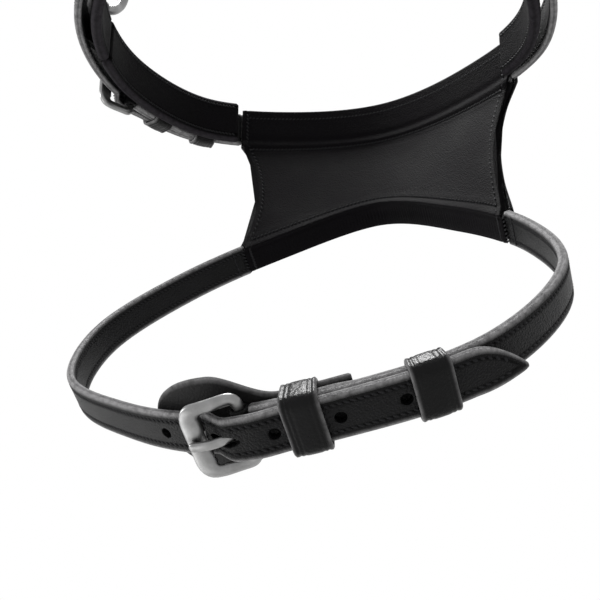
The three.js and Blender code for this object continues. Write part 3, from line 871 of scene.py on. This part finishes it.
def panel_sheet(name, node, low, high, inside, thick, material, slot, relief=None, pull=0.0,
                cells=(330, 120)):
    along_cells, up_cells = cells
    edge_cells = 3
    heights = [mix(low, high, k / up_cells) for k in range(up_cells + 1)]
    shares = [k / (edge_cells + 1) for k in range(1, edge_cells + 1)]
    outline = [(h, 0.0) for h in heights] + [(high, share) for share in shares]
    outline += [(h, 1.0) for h in reversed(heights)] + [(low, 1 - share) for share in shares]
    rings = []
    for j in range(along_cells + 1):
        ring = []
        for h, share in outline:
            sink = relief(j / along_cells, h) * (1 - share) if relief else 0.0
            free = ease(h, LOW_SHARE, 0.32) * (1 - ease(h, 0.68, 1 - LOW_SHARE))
            at = 0.5 + (j / along_cells - 0.5) * (1 - pull * free)
            ring.append(panel_point(at, h, inside(h) + sink + share * thick))
        rings.append(ring)
    bm = wrap(len(outline), along_cells, lambda i, j: rings[j][i])
    return piece_of(name, bm, material, "noseband", slot, node)


def surface_frame(along, height, offset, step_along, step_up):
    """A frame on the panel's inner face: x towards (step_along, step_up), y towards the horse."""
    here = panel_point(along, height, offset)
    ahead = (panel_point(along + step_along, height + step_up, offset) - here).normalized()
    out = (panel_point(along, height, offset + MM) - here).normalized()
    across = ahead.cross(-out).normalized()
    matrix = Matrix((ahead, -out, across)).transposed().to_4x4()
    matrix.translation = here
    return matrix


def panel_stitching():
    frames = []
    face = -PANEL_GAP - COVER
    count = 74
    for h in SEAMS + (0.955,):
        for k in range(count):
            along = mix(0.02, 0.98, (k + 0.5) / count)
            frames.append(surface_frame(along, h, face + recess(h) + 0.25 * MM, 0.001, 0))
    margin = 3.2 * MM / (2 * PANEL_HALF_LOW)
    for side in (margin, 1 - margin):
        for k in range(42):
            h = mix(0.02, 0.98, (k + 0.5) / 42)
            frames.append(surface_frame(side, h, face + recess(h) + 0.15 * MM, 0, 0.001))
    sewn("lining_stitching", frames, "noseband", "soft_leather")
    whip = []
    for end, side in ((PANEL_TO, 1), (PANEL_FROM, -1)):
        for k in range(7):
            up = mix(-5.6 * MM, 5.6 * MM, k / 6)
            turn = Matrix.Rotation(math.pi, 4, "X") @ Matrix.Rotation(0.5 * side, 4, "Y")
            whip.append(chin.frame(end + side * 0.4 * MM, -0.7 * MM, up) @ turn)
        for k in range(5):
            up = mix(-5.2 * MM, 5.2 * MM, k / 4)
            turn = Matrix.Rotation(math.pi, 4, "X") @ Matrix.Rotation(math.pi / 2, 4, "Y")
            whip.append(chin.frame(end + side * 6 * MM, 0.0, up) @ turn)
    sewn("seam_whipping", whip, "noseband", "soft_leather", length=3.6 * MM, thick=0.5 * MM, slant=0.0)


def nose_panel():
    panel_sheet("lining", "panel_lining", 0, 1, lambda h: recess(h) - PANEL_GAP - COVER, COVER, SOFT,
                "soft_leather", relief=lining_relief)
    panel_sheet("padding", "panel_padding", 0.21, 0.79, lambda h: recess(h) - PANEL_GAP + 0.05 * MM,
                STRAP_THICK + 2 * PANEL_GAP - PANEL_RECESS - 0.1 * MM, SOFT, "foam", pull=0.02,
                cells=(60, 30))
    panel_sheet("facing", "panel_facing", 0, 1, lambda h: STRAP_THICK + PANEL_GAP, COVER, STRAP,
                "bridle_leather", pull=0.015, cells=(120, 60))
    panel_stitching()


# ---- rings and headpiece ----
def cheek_ring(side):
    name = ("near" if side < 0 else "far") + "_cheek_ring"
    centre = centre_of(name)
    around, steps = 14, 96

    def spot(i, j):
        a, b = 2 * math.pi * j / steps, 2 * math.pi * i / around
        radius = RING_RADIUS + RING_WIRE * math.cos(b)
        return centre + Vector((RING_WIRE * math.sin(b), radius * math.cos(a), radius * math.sin(a)))
    piece_of(name.replace("cheek_ring", "ring"), wrap(around, steps, spot, closed_along=True), STEEL,
             name.replace("_cheek", ""), "ring_steel", name)


def fold(name, node, x_sign, upward, tail, body, width, start_x, end_x):
    """A tab folded round a ring's wire: up one side, round the wire, and back down the other."""
    wire = Vector((x_sign * RING_X, RING_Z + (RING_RADIUS if upward else -RING_RADIUS)))
    wall = HANGER_WALL
    radius = RING_WIRE + 0.25 * MM + wall / 2
    down = 1 if upward else -1
    path = [Vector((wire.x + start_x, wire.y + down * tail))]
    for k in range(13):
        a = math.pi * k / 12
        path.append(wire + Vector((math.cos(a) * radius, -down * math.sin(a) * (radius + 0.5 * MM))))
    path.append(Vector((wire.x + end_x, wire.y + down * tail)))
    dense = []
    for a, b in zip(path, path[1:]):
        pieces = max(1, round((b - a).length / (1.0 * MM)))
        dense += [a + (b - a) * k / pieces for k in range(pieces)]
    dense.append(path[-1])
    outline = strap_section(width, wall, crease=0.08 * MM, dip=0.0)
    rings = []
    total = len(dense)
    for j, spot in enumerate(dense):
        ahead = (dense[min(j + 1, total - 1)] - dense[max(j - 1, 0)]).normalized()
        normal = Vector((ahead.y, -ahead.x))
        places = [(spot + normal * (out - wall / 2), up) for up, out, rub in outline]
        rings.append([Vector((at.x, RING_Y + up, at.y)) for at, up in places])
    bm = wrap(len(outline), total - 1, lambda i, j: rings[j][i], wear_and_groove_shade=lambda i, j: outline[i][2])
    return piece_of(name, bm, STRAP, body, "bridle_leather", *([node] if node else []))


def headpiece():
    body = "headpiece"
    for side, word in ((-1, "near"), (1, "far")):
        cheek_ring(side)
        fold(f"{word}_hanger", f"{word}_ring_hanger", side, False, 22 * MM, "noseband", 13 * MM,
             1.0 * MM * side,
             -1.0 * MM * side)
        fold(f"{word}_cheek_fold", None, side, True, 20 * MM, body, 14 * MM, 2.6 * MM * side, 0.0)
    first = 8 * MM
    strap_piece("far_cheek", "far_cheek_strap", head, first, CHEEK_LENGTH, 0, STRAP_THICK, HEAD_WIDTH, body)
    chape_piece("near_cheek", "near_cheek_strap", head, HEAD_HEEL, head.length - first, HEAD_WIDTH, body)

    def over_cheek(s):
        step = 1 - ease(s, CHEEK_LENGTH + 2 * MM, CHEEK_LENGTH + 16 * MM)
        return OVER_CHAPE * step + billet_rise(s - HEAD_HEEL)
    holes = (-3, -2, -1, 1, 2)
    billet_piece("crown", "crown_strap", head, CROWN_START, HEAD_HEEL, HEAD_TIP, HEAD_WIDTH, holes, body,
                 rise=over_cheek)
    buckle_set("crown", head, HEAD_HEEL, HEAD_WIDTH, body, (22.5 * MM, 55 * MM))


# ---- studio ----
LAMPS = (("key", (-0.35, 0.15, 1.3), 0.5, 32), ("side", (-1.35, -0.6, 0.2), 0.5, 12),
         ("under", (-0.33, -0.2, -0.36), 0.4, 0.9))


def pale_paint():
    paint = Paint("pale floor")
    return paint.set(Base_Color=colour(0.6, 0.6, 0.595), Roughness=0.7, Specular_IOR_Level=0.2)


def studio():
    world = bpy.data.worlds.new("studio")
    bpy.context.scene.world = world
    world.use_nodes = True
    world.node_tree.nodes["Background"].inputs["Color"].default_value = colour(1, 1, 1)
    bm = bmesh.new()
    bmesh.ops.create_grid(bm, x_segments=1, y_segments=1, size=1.4)
    bmesh.ops.translate(bm, verts=bm.verts, vec=(0, 0, -0.45))
    mesh = bpy.data.meshes.new("floor")
    bm.to_mesh(mesh)
    bm.free()
    floor = bpy.data.objects.new("floor", mesh)
    bpy.context.scene.collection.objects.link(floor)
    mesh.materials.append(pale_paint())
    for name, spot, size, power in LAMPS:
        lamp = bpy.data.lights.new(name, "AREA")
        lamp.size = size
        lamp.energy = power
        light = bpy.data.objects.new(name, lamp)
        light.location = spot
        light.rotation_euler = (Vector((0, 0, 0.05)) - Vector(spot)).to_track_quat("-Z", "Y").to_euler()
        bpy.context.scene.collection.objects.link(light)


def camera():
    eye = bpy.data.cameras.new("camera")
    turn, rise, distance = math.radians(27.0), math.radians(-13.59), 304 * MM
    flat = math.cos(rise)
    spot = Vector((math.sin(turn) * flat, -math.cos(turn) * flat, math.sin(rise))) * distance
    view = bpy.data.objects.new("camera", eye)
    view.location = spot
    view.rotation_euler = (-spot).to_track_quat("-Z", "Y").to_euler()
    eye.sensor_width = 36.0
    eye.lens = 44.2
    eye.shift_x = -0.005
    eye.shift_y = 0.0203
    eye.clip_start = 0.01
    bpy.context.scene.collection.objects.link(view)
    bpy.context.scene.camera = view
    bpy.context.scene.view_settings.view_transform = "Standard"


camera()
studio()
chin_strap()
nose_strap()
nose_panel()
headpiece()
